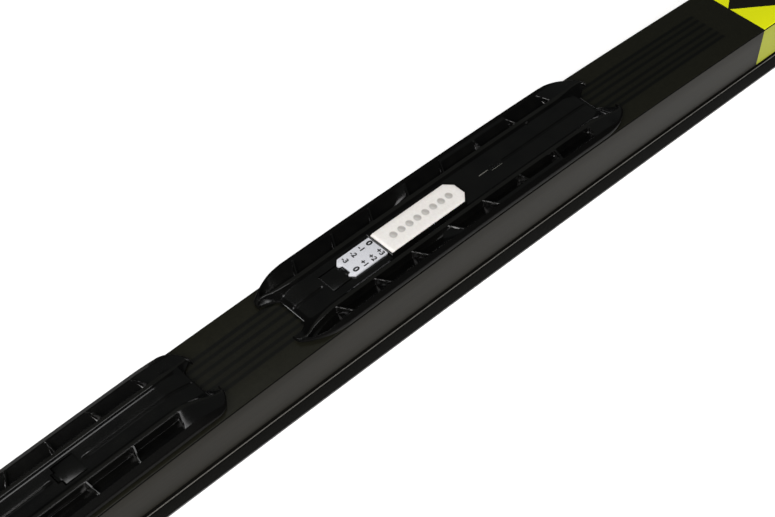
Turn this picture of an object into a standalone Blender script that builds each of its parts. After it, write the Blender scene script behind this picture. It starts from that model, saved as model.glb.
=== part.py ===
"""Cross country ski with bonded front and rear binding plates.

X runs along the ski towards the tip, Y to the ski's left, Z up.
The origin is under the middle of the ski, on the plane the ski stands on.
Lengths are in metres.
"""
import math

import bmesh
import bpy
from mathutils import Vector

MM = 0.001
GAP = 0.3 * MM                    # clearance kept between neighbouring pieces

# Ski outline and side profile
TIP_X = 955 * MM
TAIL_X = -955 * MM
WAIST_HALF = 22.0 * MM            # half width of the running base, middle to tail
SHOULDER_HALF = 20.5 * MM         # half width of the base at the front contact
SHOULDER_X = 720 * MM
SIDECUT_START_X = 100 * MM
NOSE_START_X = 860 * MM
TAIL_ROUND = 20 * MM              # length of the rounded tail corners
TAIL_CORNER = 6 * MM              # how far the corners pull in at the tail end
CAMBER = 18 * MM
CAMBER_TOP_X = -150 * MM
FRONT_CONTACT_X = 730 * MM
REAR_CONTACT_X = -920 * MM
TIP_RISE = 52 * MM
TIP_POWER = 2.3
TAIL_RISE = 3 * MM
THICK_MIDDLE = 35 * MM
THICK_END = 7 * MM
THICK_TIP_LOSS = 4 * MM
THICK_TOP_X = -15 * MM
THICK_REACH = 850 * MM
THIN_TIP_START_X = 900 * MM

# Layers, measured up from the running surface
BASE_THICK = 1.2 * MM
GROOVE_DEPTH = 1.4 * MM
GROOVE_HALF = 4.0 * MM
GROOVE_END_X = 800 * MM
LAMINATE = 0.8 * MM
CAP_WALL = 1.0 * MM
EDGE_WIDTH = 5.0 * MM
LEDGE_FIXED = 1.0 * MM            # height of the sidewall strip: fixed part
LEDGE_SHARE = 0.262               # and share of the ski's thickness
TOP_INSET = 2.1 * MM              # top sheet edge inside the base edge
SIDE_INSET = 1.55 * MM            # foot of the cap side inside the base edge
REINFORCEMENT = 1.0 * MM
REINFORCEMENT_HALF = 15 * MM
BODY_FRONT_X = 925 * MM           # where the tip protector takes over
BODY_REAR_X = -930 * MM           # where the tail protector takes over
CORE_FRONT_X = 740 * MM
CORE_REAR_X = -800 * MM
STRINGER_INNER = 9.5 * MM
SPINE_HALF = 3.2 * MM

# Binding plates. Distances along X are from the rearmost dimple of the lock rack.
DATUM_X = -115 * MM
PLATE_BOTTOM = 0.9 * MM           # above the top sheet
FRONT_PLATE = dict(
    name="front_plate", rear_tip=-65.0 * MM, front_tip=134.5 * MM, half=20.75 * MM,
    floor=3.2 * MM, rail=4.2 * MM, rim_in=4.5 * MM, rim_out=4.1 * MM,
    rail_in=9.7 * MM, rail_out=11.5 * MM, pocket_out=18.2 * MM, tip_height=2.5 * MM,
    front_ramp=20 * MM,
    front_round=((0, 11.5), (2, 14.0), (4.5, 15.9), (9.5, 18.9), (16, 20.4), (22, 20.75)),
    front_notch=((-3, 10.7), (0, 10.2), (7.6, 6.9), (8.7, 6.2)),
    rear_ribs=(-43.6, 21.4, 5), front_ribs=(65.3, 23.35, 3))
REAR_PLATE = dict(
    name="rear_plate", rear_tip=-293.5 * MM, front_tip=-101.5 * MM, half=18.9 * MM,
    floor=5.9 * MM, rail=6.6 * MM, rim_in=5.5 * MM, rim_out=3.9 * MM,
    rail_in=7.2 * MM, rail_out=8.9 * MM, pocket_out=16.1 * MM, tip_height=2.5 * MM,
    front_ramp=20 * MM,
    front_round=((0, 10.0), (1.5, 13.0), (4, 17.2), (6, 18.5), (10, 18.9), (22, 18.9)),
    front_notch=((-3, 9.8), (0, 9.4), (4.4, 7.0), (5.2, 6.4)),
    rear_ribs=(-272.0, 21.4, 5), front_ribs=(-165.0, 21.8, 3))
REAR_ROUND = ((0, 13.0), (2, 15.2), (7, 17.7), (13, 19.7), (20, 20.75))
REAR_NOTCH = ((-3, 12.8), (0, 12.2), (7.8, 7.7), (8.4, 7.0))
FLOOR_CHAMFER = 3.7 * MM          # sloped end of the channel floor
RIB_HALF = 0.45 * MM
POCKET_FOOT = 1.1 * MM            # the pocket's inner wall leans out by this much
POCKET_DEPTH = 2.8 * MM
SLANTS = (4.0, 4.0, 4.0, 4.0, 4.0, 0.7, -2.4, -2.9)
PAD_INSET = 2.2 * MM

# Lock rack, position label and latch tongues on the plates
RACK_REAR, RACK_FRONT = -7.2 * MM, 39.7 * MM
RACK_HALF = 6.65 * MM
RACK_CHAMFER = 3.6 * MM
RACK_LOW, RACK_HIGH = 1.9 * MM, 4.3 * MM
DIMPLES = 8
DIMPLE_PITCH = 4.75 * MM
DIMPLE_RADIUS = 1.8 * MM
DIMPLE_DEPTH = 0.5 * MM
DIMPLE_FLARE = 1.2                # radius gained for each unit of height
LABEL_REAR, LABEL_FRONT = -28.5 * MM, -8.6 * MM
LABEL_HALF = 6.1 * MM
LABEL_CHAMFER = 2.0 * MM
LABEL_THICK = 0.8 * MM
LABEL_NOTCH = 2.5 * MM
LABEL_NOTCH_DEPTH = 1.6 * MM
TONGUE_HALF = 4.5 * MM
NOSE_HALF = 2.1 * MM
TONGUE_THICK = 1.0 * MM
TONGUE_LENGTH = 9.3 * MM          # hinge line to the shoulders of the nose
NOSE_LENGTH = 1.6 * MM
FRONT_TONGUE_X = -38.0 * MM
REAR_TONGUE_X = -161.0 * MM
SLOT = 0.5 * MM                   # gap round a tongue


def smooth(t):
    """Ease from 0 to 1."""
    t = min(max(t, 0.0), 1.0)
    return t * t * (3 - 2 * t)


def through(x, points):
    """Straight runs through a few (distance, value) points, flat beyond them."""
    if x <= points[0][0]:
        return points[0][1]
    for (xa, va), (xb, vb) in zip(points, points[1:]):
        if x <= xb:
            return va + (vb - va) * (x - xa) / (xb - xa)
    return points[-1][1]


def base_height(x):
    """Height of the running surface's centre line."""
    reach = (FRONT_CONTACT_X if x > CAMBER_TOP_X else REAR_CONTACT_X) - CAMBER_TOP_X
    u = min((x - CAMBER_TOP_X) / reach, 1.0)
    tip = max(0.0, (x - FRONT_CONTACT_X) / (TIP_X - FRONT_CONTACT_X)) ** TIP_POWER
    tail = max(0.0, (REAR_CONTACT_X - x) / (REAR_CONTACT_X - TAIL_X)) ** 2
    return CAMBER * (1 - u * u) ** 2 + TIP_RISE * tip + TAIL_RISE * tail


def base_half(x):
    """Half width of the running base."""
    side = (x - SIDECUT_START_X) / (SHOULDER_X - SIDECUT_START_X)
    half = WAIST_HALF + (SHOULDER_HALF - WAIST_HALF) * smooth(side)
    if x > NOSE_START_X:
        u = (x - NOSE_START_X) / (TIP_X - NOSE_START_X)
        half *= max(0.0, 1 - u ** 2.2) ** 0.5
    corner = TAIL_X + TAIL_ROUND
    if x < corner:
        v = min((corner - x) / TAIL_ROUND, 1.0)
        half -= TAIL_CORNER * (1 - math.sqrt(1 - v * v))
    return half


def thickness(x):
    """Thickness of the ski, square to its running surface."""
    u = min(abs(x - THICK_TOP_X) / THICK_REACH, 1.0)
    thick = THICK_END + (THICK_MIDDLE - THICK_END) * (1 + math.cos(math.pi * u)) / 2
    thin = max(0.0, (x - THIN_TIP_START_X) / (TIP_X - THIN_TIP_START_X))
    return thick - THICK_TIP_LOSS * thin * thin


def ledge(x):
    """Height of the step where the cap sits on the sidewall strips."""
    return LEDGE_FIXED + LEDGE_SHARE * thickness(x)


def groove(x):
    """Depth of the running groove."""
    return GROOVE_DEPTH * smooth((GROOVE_END_X - x) / (40 * MM))


def at(x, y, h):
    """Point at height h above the running surface, square to it."""
    step = 0.5 * MM
    rise = (base_height(x + step) - base_height(x - step)) / (2 * step)
    run = math.hypot(1, rise)
    return Vector((x - h * rise / run, y, base_height(x) + h / run))


def on_top(x, y, h):
    """Point at height h above the top sheet."""
    return at(x, y, thickness(x) + h)


def spread(start, end):
    """Stations along the ski, closer together where the tip bends and narrows."""
    xs = [start]
    while xs[-1] < end - 1e-6:
        step = 45 * MM
        if xs[-1] > 715 * MM:
            step = 20 * MM
        if xs[-1] > 850 * MM:
            step = 12 * MM
        xs.append(min(xs[-1] + step, end))
    return xs


def material(name, srgb, roughness, metallic=0.0):
    """Principled material from a screen colour."""
    mat = bpy.data.materials.new(name)
    mat.use_nodes = True
    shader = mat.node_tree.nodes["Principled BSDF"]
    colour = [((c + 0.055) / 1.055) ** 2.4 if c > 0.04045 else c / 12.92 for c in srgb]
    shader.inputs["Base Color"].default_value = (*colour, 1.0)
    shader.inputs["Roughness"].default_value = roughness
    shader.inputs["Metallic"].default_value = metallic
    mat.diffuse_color = (*colour, 1.0)
    return mat


def new_object(name, bm, collection, mat=None):
    """Object with outward faces, smooth except at its edges."""
    bmesh.ops.recalc_face_normals(bm, faces=bm.faces)
    mesh = bpy.data.meshes.new(name)
    bm.to_mesh(mesh)
    bm.free()
    mesh.shade_smooth()
    mesh.set_sharp_from_angle(angle=math.radians(30))
    obj = bpy.data.objects.new(name, mesh)
    collection.objects.link(obj)
    if mat:
        mesh.materials.append(mat)
    return obj


def add_loft(bm, rings):
    """Closed skin over rings that all have the same number of points."""
    rows = [[bm.verts.new(p) for p in ring] for ring in rings]
    count = len(rows[0])
    for a, b in zip(rows, rows[1:]):
        for i in range(count):
            j = (i + 1) % count
            bm.faces.new((a[i], a[j], b[j], b[i]))
    bm.faces.new(rows[0])
    bm.faces.new(rows[-1])


def mirrored(half):
    """Whole section from its half at positive y."""
    return list(half) + [(-y, h) for y, h in reversed(half)]


def layer(name, xs, section, mat, collection):
    """Long piece whose section is given at each station."""
    bm = bmesh.new()
    add_loft(bm, [[at(x, y, h) for y, h in section(x)] for x in xs])
    return new_object(name, bm, collection, mat)


def add_prism(bm, outline, low, high):
    """Flat outline in plan, between two heights above the top sheet."""
    add_loft(bm, [[on_top(x, y, low) for x, y in outline],
                  [on_top(x, y, high) for x, y in outline]])


def cut(obj, cutter):
    """Take the cutter away from the object."""
    cutter.hide_render = True
    cutter.display_type = "WIRE"
    modifier = obj.modifiers.new("cut", "BOOLEAN")
    modifier.operation = "DIFFERENCE"
    modifier.solver = "EXACT"
    modifier.object = cutter


# --- Ski body -----------------------------------------------------------------

def running_base_section(x):
    half, deep = base_half(x), groove(x)
    return mirrored([(GROOVE_HALF - 0.8 * MM, deep), (GROOVE_HALF, 0), (half, 0),
                     (half, BASE_THICK), (GROOVE_HALF + 1.4 * MM, BASE_THICK),
                     (GROOVE_HALF + 0.6 * MM, BASE_THICK + deep)])


def inner_half(x):
    """Half width between the sidewall strips."""
    return base_half(x) - EDGE_WIDTH - GAP


def lower_laminate_section(x):
    low, deep, half = BASE_THICK + GAP, groove(x), inner_half(x)
    return mirrored([(GROOVE_HALF + 0.9 * MM, low + deep), (GROOVE_HALF + 1.7 * MM, low),
                     (half, low), (half, low + LAMINATE),
                     (GROOVE_HALF + 1.9 * MM, low + LAMINATE),
                     (GROOVE_HALF + 1.1 * MM, low + LAMINATE + deep)])


def edge_section(x, side):
    inner, outer = base_half(x) - EDGE_WIDTH, base_half(x) - 0.15 * MM
    low, high = BASE_THICK + GAP, ledge(x) - GAP
    return [(side * y, h) for y, h in ((inner, low), (outer, low), (outer, high), (inner, high))]


CORE_LOW = BASE_THICK + LAMINATE + 2 * GAP


def core_top(x):
    """Top of the core, lower under the binding reinforcement."""
    top = thickness(x) - CAP_WALL - LAMINATE - 2 * GAP
    if reinforced(x):
        top -= REINFORCEMENT + GAP
    return top


def reinforced(x):
    return reinforcement_ends()[0] - GAP < x < reinforcement_ends()[1] + GAP


def reinforcement_ends():
    """The reinforcement reaches a little past both plates."""
    return (DATUM_X + REAR_PLATE["rear_tip"] - 30 * MM,
            DATUM_X + FRONT_PLATE["front_tip"] + 30 * MM)


def core_stations():
    """Core stations, doubled where its top steps down for the reinforcement."""
    first, last = reinforcement_ends()
    steps = [first - 2 * GAP, first - GAP / 2, last + GAP / 2, last + 2 * GAP]
    plain = [x for x in spread(CORE_REAR_X, CORE_FRONT_X)
             if min(abs(x - s) for s in steps) > 5 * MM]
    return sorted(plain + steps)


def stringer_section(x, side):
    foot, edge, top = base_half(x) - SIDE_INSET, ledge(x) + GAP, core_top(x)
    wall = CAP_WALL + GAP
    ring = [(STRINGER_INNER, CORE_LOW), (inner_half(x), CORE_LOW), (inner_half(x), edge),
            (foot - wall, edge), (base_half(x) - TOP_INSET - wall, top), (STRINGER_INNER, top)]
    return [(side * y, h) for y, h in ring]


def spine_section(x):
    low = CORE_LOW + groove(x)
    return mirrored([(SPINE_HALF, low), (SPINE_HALF, core_top(x))])


def spacer_section(x):
    deep, half = groove(x), inner_half(x)
    top = thickness(x) - CAP_WALL - LAMINATE - 2 * GAP
    return mirrored([(GROOVE_HALF + 1.3 * MM, CORE_LOW + deep), (GROOVE_HALF + 2.1 * MM, CORE_LOW),
                     (half, CORE_LOW), (half, top)])


def reinforcement_section(x):
    high = thickness(x) - CAP_WALL - LAMINATE - 2 * GAP
    return mirrored([(REINFORCEMENT_HALF, high - REINFORCEMENT), (REINFORCEMENT_HALF, high)])


def upper_laminate_section(x):
    half = base_half(x) - TOP_INSET - CAP_WALL - 0.5 * MM
    high = thickness(x) - CAP_WALL - GAP
    return mirrored([(half, high - LAMINATE), (half, high)])


def cap_section(x):
    """Top sheet cap: flat top, steep sides, and a small lip over the sidewall strip."""
    half, low, high = base_half(x), ledge(x), thickness(x)
    lip, foot, top = half - 0.25 * MM, half - SIDE_INSET, half - TOP_INSET
    outer = [(lip, low), (lip, low + 0.7 * MM), (lip - 0.3 * MM, low + 1.0 * MM),
             (foot + 0.35 * MM, low + 1.3 * MM), (foot, low + 1.9 * MM),
             (top, high - 0.9 * MM), (top - 0.27 * MM, high - 0.27 * MM), (top - 0.9 * MM, high)]
    inner = [(-(foot - CAP_WALL), low), (-(top - CAP_WALL), high - CAP_WALL),
             (top - CAP_WALL, high - CAP_WALL), (foot - CAP_WALL, low)]
    left = [(-y, h) for y, h in reversed(outer)]
    return outer + left + inner


def protector_section(x):
    half, high = base_half(x), thickness(x)
    return mirrored([(0.96 * half, 0), (half, 0.2 * high), (0.98 * half, 0.5 * high),
                     (0.92 * half, 0.85 * high), (0.85 * half, high)])


def build_body(parts):
    whole = spread(BODY_REAR_X, BODY_FRONT_X)
    pe = material("sintered_base", (0.07, 0.07, 0.08), 0.45)
    abs_edge = material("abs_sidewall", (0.11, 0.11, 0.10), 0.55)
    glass = material("fibre_laminate", (0.16, 0.16, 0.15), 0.5)
    wood = material("core_wood", (0.72, 0.58, 0.40), 0.65)
    foam = material("spacer_plastic", (0.30, 0.30, 0.30), 0.6)
    layer("running_base", whole, running_base_section, pe, parts)
    for label, side in (("left", 1), ("right", -1)):
        layer("base_edge_" + label, whole, lambda x, s=side: edge_section(x, s), abs_edge, parts)
        layer("core_stringer_" + label, core_stations(),
              lambda x, s=side: stringer_section(x, s), wood, parts)
    layer("lower_laminate", whole, lower_laminate_section, glass, parts)
    layer("core_spine", core_stations(), spine_section, wood, parts)
    layer("tip_spacer", spread(CORE_FRONT_X + GAP, BODY_FRONT_X), spacer_section, foam, parts)
    layer("tail_spacer", spread(BODY_REAR_X, CORE_REAR_X - GAP), spacer_section, foam, parts)
    layer("binding_reinforcement", spread(*reinforcement_ends()), reinforcement_section,
          material("reinforcement_laminate", (0.45, 0.40, 0.28), 0.5), parts)
    layer("upper_laminate", whole, upper_laminate_section, glass, parts)
    layer("topsheet_cap", whole, cap_section,
          material("satin_topsheet", (0.13, 0.13, 0.11), 0.4), parts)
    nose = [TIP_X - (TIP_X - BODY_FRONT_X - GAP) * (1 - k / 10) ** 2 for k in range(11)]
    nose[-1] = TIP_X - 0.02 * MM
    plastic = material("protector_plastic", (0.05, 0.05, 0.05), 0.45)
    layer("tip_protector", nose, protector_section, plastic, parts)
    tail_end = [TAIL_X + TAIL_ROUND * (1 - math.cos(math.pi / 2 * k / 6)) for k in range(7)]
    layer("tail_protector", tail_end + [BODY_REAR_X - GAP], protector_section, plastic, parts)


# --- Binding plates -----------------------------------------------------------

def plate_half(plate, x):
    """Half width of a plate in plan."""
    scale = plate["half"] / FRONT_PLATE["half"]
    rear = through((x - plate["rear_tip"]) / MM, REAR_ROUND) * MM * scale
    front = through((plate["front_tip"] - x) / MM, plate["front_round"]) * MM
    return min(rear, front)


def plate_section(plate, x):
    """Half section: shadow gap, outer rim, pocket land, rail and channel floor."""
    rear_gap, front_gap = x - plate["rear_tip"], plate["front_tip"] - x
    grow = smooth(min(rear_gap / (22 * MM), front_gap / plate["front_ramp"]))
    half, tip = plate_half(plate, x), plate["tip_height"]

    def risen(height):
        return tip + (height - tip) * grow

    rim = half - 0.45 * MM
    land = min(plate["pocket_out"], rim - 0.7 * MM)
    rail_out = min(plate["rail_out"] + (land - plate["rail_out"]) * (1 - grow), land - 0.5 * MM)
    rail_in = rail_out - (plate["rail_out"] - plate["rail_in"]) * max(grow, 0.3)
    notch = min(rear_gap - REAR_NOTCH[-1][0] * MM, front_gap - plate["front_notch"][-1][0] * MM)
    low_floor = min(2.0 * MM, plate["floor"])
    floor = low_floor + (plate["floor"] - low_floor) * min(max(notch / FLOOR_CHAMFER, 0), 1)
    floor = min(floor, risen(plate["floor"]))
    floor_edge = rail_in - (risen(plate["rail"]) - floor) - 0.3 * MM
    return mirrored([(half - 1.1 * MM, PLATE_BOTTOM), (half - 0.4 * MM, PLATE_BOTTOM + 0.7 * MM),
                     (half, risen(plate["rim_out"]) - 0.5 * MM),
                     (rim, risen(plate["rim_out"])), (land, risen(plate["rim_in"])),
                     (rail_out, risen(plate["rail"])), (rail_in, risen(plate["rail"])),
                     (floor_edge, floor), (0.7 * MM, floor), (0.2 * MM, floor - 0.4 * MM)])


def plate_stations(plate):
    """Stations along a plate, closer together in its horns."""
    rear, front = plate["rear_tip"], plate["front_tip"]
    ends = [2, 4.5, 7, 9, 11, 13.5, 17, 22]
    xs = [rear] + [rear + d * MM for d in ends]
    xs += [front - d * MM for d in reversed(ends)] + [front]
    first, last = rear + 22 * MM, front - 22 * MM
    count = 12
    xs += [first + (last - first) * k / count for k in range(1, count)]
    return sorted(xs)


def rib_positions(plate):
    """Inner ends of the ribs, rear group first."""
    found = []
    for start, pitch, count in (plate["rear_ribs"], plate["front_ribs"]):
        found += [(start + pitch * k) * MM for k in range(count)]
    return found


def pocket_out(plate, index):
    """Outer edge of a pocket; the two middle pockets are narrower."""
    return plate["pocket_out"] - (1.7 * MM if index in (4, 5) else 0.0)


def add_pocket(bm, plate, side, index, ribs):
    """Wedge between two ribs: deep along the rail, running out at the rim."""
    inner, outer = plate["rail_out"] + 0.1 * MM, pocket_out(plate, index) - 0.1 * MM
    reach = plate["pocket_out"] - inner
    foot = inner + POCKET_FOOT
    slope = (plate["rim_in"] - plate["rail"]) / reach
    outer_height = plate["rail"] + slope * (outer - inner)
    ring = [(inner, plate["rail"] + 1.5 * MM), (inner, plate["rail"]),
            (foot, plate["rail"] - POCKET_DEPTH), (outer, outer_height),
            (outer, plate["rail"] + 1.5 * MM)]

    def end(rib, turn):
        lean = SLANTS[rib] * MM
        return [(ribs[rib] + turn * RIB_HALF + lean * (y - inner) / reach, side * y, h)
                for y, h in ring]

    rings = [end(index, 1), end(index + 1, -1)]
    add_loft(bm, [[on_top(DATUM_X + x, y, h) for x, y, h in r] for r in rings])


def add_horn_pocket(bm, plate, side, ribs):
    """Pointed pocket in the rear horn, behind the first rib."""
    inner, outer = plate["rail_out"] + 0.1 * MM, plate["pocket_out"] - 0.1 * MM
    scale = plate["half"] / FRONT_PLATE["half"]
    lean = SLANTS[0] * MM
    tip_x = plate["rear_tip"] + 5.5 * MM
    tip_y = 14.6 * MM * scale
    back = ribs[0] - RIB_HALF
    bend = back - 6.5 * MM
    top = plate["rail"] + 1.5 * MM
    low = plate["rail"] - POCKET_DEPTH

    def section(x, y_in, y_out, deep, shift):
        mid = y_in + min(POCKET_FOOT, (y_out - y_in) / 2)
        return [(x, y_in, top), (x, y_in, deep + 0.9 * (plate["rail"] - deep)), (x, mid, deep),
                (x + shift, y_out, plate["rim_in"] - 0.1 * MM), (x + shift, y_out, top)]

    rings = [section(tip_x, tip_y, tip_y + 0.5 * MM, low + 0.9 * MM, 0),
             section(bend, inner + 0.4 * MM, outer - 0.2 * MM, low + 0.2 * MM, 2 * MM),
             section(back, inner, outer, low, lean)]
    add_loft(bm, [[on_top(DATUM_X + x, side * y, h) for x, y, h in r] for r in rings])


def add_notches(bm, plate):
    """Open ends of the channel, which leave the horns standing."""
    rear, front = plate["rear_tip"], plate["front_tip"]
    scale = plate["half"] / FRONT_PLATE["half"]
    rear_side = [(DATUM_X + rear + d * MM, w * MM * scale) for d, w in REAR_NOTCH]
    front_side = [(DATUM_X + front - d * MM, w * MM) for d, w in plate["front_notch"]]
    for side in (rear_side, front_side):
        outline = side + [(x, -y) for x, y in reversed(side)]
        add_prism(bm, outline, -0.5 * MM, 12 * MM)


def rack_outline(grow):
    """Plan of the lock rack; grow gives the recess round it."""
    rear, front = DATUM_X + RACK_REAR - grow, DATUM_X + RACK_FRONT + grow
    half, chamfer = RACK_HALF + grow, RACK_CHAMFER
    return [(rear, -half), (front - chamfer, -half), (front, -half + chamfer),
            (front, half - chamfer), (front - chamfer, half), (rear, half)]


def tongue_outline(x, grow, turn):
    """Plan of a latch tongue with its nose; turn is 1 with the nose forward."""
    back, shoulder = -grow, TONGUE_LENGTH + grow
    nose = TONGUE_LENGTH + NOSE_LENGTH + grow
    half, tip = TONGUE_HALF + grow, NOSE_HALF + grow
    plan = [(back, -half), (shoulder, -half), (shoulder, -tip), (nose, -tip),
            (nose, tip), (shoulder, tip), (shoulder, half), (back, half)]
    return [(DATUM_X + x + turn * px, turn * py) for px, py in plan]


def build_plate(plate, parts, cutters, mat, tongue):
    bm = bmesh.new()
    rings = []
    for x in plate_stations(plate):
        rings.append([on_top(DATUM_X + x, y, h) for y, h in plate_section(plate, x)])
    add_loft(bm, rings)
    obj = new_object(plate["name"], bm, parts, mat)
    cutting = bmesh.new()
    ribs = rib_positions(plate)
    for side in (1, -1):
        add_horn_pocket(cutting, plate, side, ribs)
        for index in range(len(ribs) - 1):
            add_pocket(cutting, plate, side, index, ribs)
    add_notches(cutting, plate)
    add_prism(cutting, tongue_outline(*tongue), -0.5 * MM, 12 * MM)
    if plate is FRONT_PLATE:
        add_prism(cutting, rack_outline(GAP), RACK_LOW - GAP, 12 * MM)
    cut(obj, new_object(plate["name"] + "_cutter", cutting, cutters))


def build_pad(plate, parts, mat):
    """Adhesive sheet under a plate, inset from its edge."""
    ends = (plate["rear_tip"] + 14 * MM, plate["front_tip"] - 14 * MM)
    count = 10
    rings = []
    for k in range(count + 1):
        x = ends[0] + (ends[1] - ends[0]) * k / count
        half = plate_half(plate, x) - PAD_INSET
        section = mirrored([(half, GAP), (half, PLATE_BOTTOM - GAP)])
        rings.append([on_top(DATUM_X + x, y, h) for y, h in section])
    bm = bmesh.new()
    add_loft(bm, rings)
    new_object(plate["name"] + "_adhesive", bm, parts, mat)


def build_rack(parts, cutters):
    """White rack whose dimples hold the binding in one of its positions."""
    bm = bmesh.new()
    add_prism(bm, rack_outline(0), RACK_LOW, RACK_HIGH)
    white = material("white_rack", (0.88, 0.86, 0.84), 0.4)
    obj = new_object("front_lock_rack", bm, parts, white)
    cutting = bmesh.new()
    for k in range(DIMPLES):
        x = DATUM_X + k * DIMPLE_PITCH
        low, high = on_top(x, 0, RACK_HIGH - DIMPLE_DEPTH), on_top(x, 0, RACK_HIGH + GAP)
        made = bmesh.ops.create_cone(
            cutting, cap_ends=True, segments=20, radius1=DIMPLE_RADIUS - DIMPLE_FLARE * DIMPLE_DEPTH,
            radius2=DIMPLE_RADIUS + DIMPLE_FLARE * GAP, depth=(high - low).length)
        turn = (high - low).to_track_quat("Z", "Y").to_matrix()
        bmesh.ops.transform(cutting, matrix=turn.to_4x4(), verts=made["verts"])
        bmesh.ops.translate(cutting, vec=(high + low) / 2, verts=made["verts"])
    cut(obj, new_object("dimple_cutter", cutting, cutters))


def build_label(parts):
    """Position label with a notch for the nose of the latch tongue."""
    rear, front = DATUM_X + LABEL_REAR, DATUM_X + LABEL_FRONT
    half, notch, deep = LABEL_HALF, LABEL_NOTCH, LABEL_NOTCH_DEPTH
    side = [(rear + deep, notch), (rear, notch + 0.4 * MM), (rear, half - LABEL_CHAMFER),
            (rear + LABEL_CHAMFER, half), (front, half)]
    outline = side + [(x, -y) for x, y in reversed(side)]
    low = FRONT_PLATE["floor"] + GAP
    bm = bmesh.new()
    add_prism(bm, outline, low, low + LABEL_THICK)
    new_object("position_label", bm, parts, material("label_film", (0.8, 0.81, 0.83), 0.5))


def build_tongue(name, plate, x, turn, nose_rise, parts, mat):
    """Springy latch tongue cut free of the channel floor, hung at its root."""
    floor = plate["floor"]
    pivot = on_top(DATUM_X + x, 0, floor - TONGUE_THICK / 2)
    bm = bmesh.new()
    add_prism(bm, tongue_outline(x, 0, turn), floor - TONGUE_THICK, floor)
    nose_x = DATUM_X + x + turn * (TONGUE_LENGTH + NOSE_LENGTH)
    for vert in bm.verts:
        at_nose = abs(vert.co.x - nose_x) < 0.3 * MM
        if at_nose and vert.co.z > on_top(nose_x, 0, floor - TONGUE_THICK / 2).z:
            vert.co.z += nose_rise
    bmesh.ops.translate(bm, vec=-pivot, verts=bm.verts)
    obj = new_object(name, bm, parts, mat)
    obj.location = pivot
    return obj


def build_plates(parts, cutters):
    gloss = material("gloss_plate", (0.035, 0.035, 0.035), 0.18)
    tape = material("adhesive_tape", (0.10, 0.10, 0.10), 0.8)
    build_plate(FRONT_PLATE, parts, cutters, gloss, (FRONT_TONGUE_X, SLOT, 1))
    build_plate(REAR_PLATE, parts, cutters, gloss, (REAR_TONGUE_X, SLOT, -1))
    build_pad(FRONT_PLATE, parts, tape)
    build_pad(REAR_PLATE, parts, tape)
    build_rack(parts, cutters)
    build_label(parts)
    build_tongue("front_latch_tongue", FRONT_PLATE, FRONT_TONGUE_X, 1, 0.8 * MM, parts,
                 material("front_tongue_plastic", (0.04, 0.04, 0.04), 0.2))
    build_tongue("rear_latch_tongue", REAR_PLATE, REAR_TONGUE_X, -1, 0.6 * MM, parts,
                 material("rear_tongue_plastic", (0.04, 0.04, 0.04), 0.2))


def main():
    for obj in list(bpy.data.objects):
        bpy.data.objects.remove(obj)
    parts = bpy.data.collections.new("cross_country_ski")
    cutters = bpy.data.collections.new("cutters")
    for collection in (parts, cutters):
        bpy.context.scene.collection.children.link(collection)
    build_body(parts)
    build_plates(parts, cutters)


main()
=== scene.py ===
"""Looks of the cross country ski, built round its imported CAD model.

X runs along the ski towards the tip, Y to the ski's left, Z up.
The origin is under the middle of the ski, on the plane the ski stands on.
Lengths are in metres. The plates' own distances run from the rearmost dimple of
the lock rack (DATUM_X).
"""
import math

import bmesh
import bpy
from mathutils import Matrix, Vector

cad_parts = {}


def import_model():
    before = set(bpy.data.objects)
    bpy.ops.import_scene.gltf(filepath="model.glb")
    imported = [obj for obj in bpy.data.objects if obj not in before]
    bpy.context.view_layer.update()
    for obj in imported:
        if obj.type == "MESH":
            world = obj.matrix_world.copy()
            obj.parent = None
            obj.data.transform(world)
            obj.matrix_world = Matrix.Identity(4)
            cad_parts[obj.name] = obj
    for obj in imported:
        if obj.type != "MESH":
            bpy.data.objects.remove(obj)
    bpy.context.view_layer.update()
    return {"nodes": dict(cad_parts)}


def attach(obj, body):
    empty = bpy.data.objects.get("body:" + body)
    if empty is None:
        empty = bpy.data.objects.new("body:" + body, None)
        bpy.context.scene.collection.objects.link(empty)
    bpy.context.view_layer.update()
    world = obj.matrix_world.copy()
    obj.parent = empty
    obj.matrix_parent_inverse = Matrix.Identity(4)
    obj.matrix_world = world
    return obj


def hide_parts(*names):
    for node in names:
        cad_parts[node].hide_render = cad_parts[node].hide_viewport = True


MM = 0.001

# Ski outline and side profile, as in the CAD part
TIP_X, TAIL_X = 955 * MM, -955 * MM
WAIST_HALF, SHOULDER_HALF = 22.0 * MM, 20.5 * MM
SHOULDER_X, SIDECUT_START_X = 720 * MM, 100 * MM
NOSE_START_X = 860 * MM
TAIL_ROUND, TAIL_CORNER = 20 * MM, 6 * MM
CAMBER, CAMBER_TOP_X = 18 * MM, -150 * MM
FRONT_CONTACT_X, REAR_CONTACT_X = 730 * MM, -920 * MM
TIP_RISE, TIP_POWER, TAIL_RISE = 52 * MM, 2.3, 3 * MM
THICK_MIDDLE, THICK_END, THICK_TIP_LOSS = 35 * MM, 7 * MM, 4 * MM
THICK_TOP_X, THICK_REACH, THIN_TIP_START_X = -15 * MM, 850 * MM, 900 * MM
BASE_THICK = 1.2 * MM
GROOVE_DEPTH, GROOVE_HALF, GROOVE_END_X = 1.4 * MM, 4.0 * MM, 800 * MM
CAP_WALL = 1.0 * MM
EDGE_WIDTH = 5.0 * MM
LEDGE_FIXED, LEDGE_SHARE = 1.0 * MM, 0.262
TOP_INSET, SIDE_INSET = 2.1 * MM, 1.55 * MM
BODY_FRONT_X, BODY_REAR_X = 925 * MM, -930 * MM
GAP = 0.3 * MM                    # between the protectors and the ski's body
SEAM = 0.03 * MM                  # between pieces that are bonded together
TOP_RADIUS = 0.9 * MM             # rounded upper edge of the cap

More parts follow.
